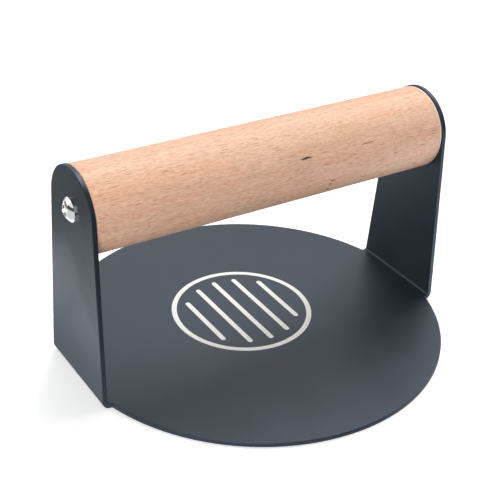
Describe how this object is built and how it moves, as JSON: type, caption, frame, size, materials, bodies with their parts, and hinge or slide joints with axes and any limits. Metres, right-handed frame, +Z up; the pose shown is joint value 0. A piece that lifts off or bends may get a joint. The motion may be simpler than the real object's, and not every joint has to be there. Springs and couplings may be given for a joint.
{
  "type": "patty press",
  "caption": "Round patty press: a flat coated steel disc with tapering ears bent up at opposite sides of its rim, and a horizontal round wooden grip screwed between them.",
  "frame": {"origin": "centre of the disc's flat underside, where the press rests on what it presses", "axes": "+Z up, +X along the grip from the left ear to the right ear, +Y towards the back"},
  "size_m": [0.1558, 0.15, 0.0862],
  "materials": {
    "coated_steel": "satin non-stick coating",
    "beech": "fine-sanded, oiled",
    "polished_steel": "polished",
    "insert_brass": "machined",
    "mark_ink": "matte printed ink"
  },
  "bodies": {
    "root": {"press_plate": "coated_steel", "handle_grip": "beech", "handle_screw_left": "polished_steel", "handle_screw_right": "polished_steel", "threaded_insert_left": "insert_brass", "threaded_insert_right": "insert_brass"}
  },
  "joints": []
}
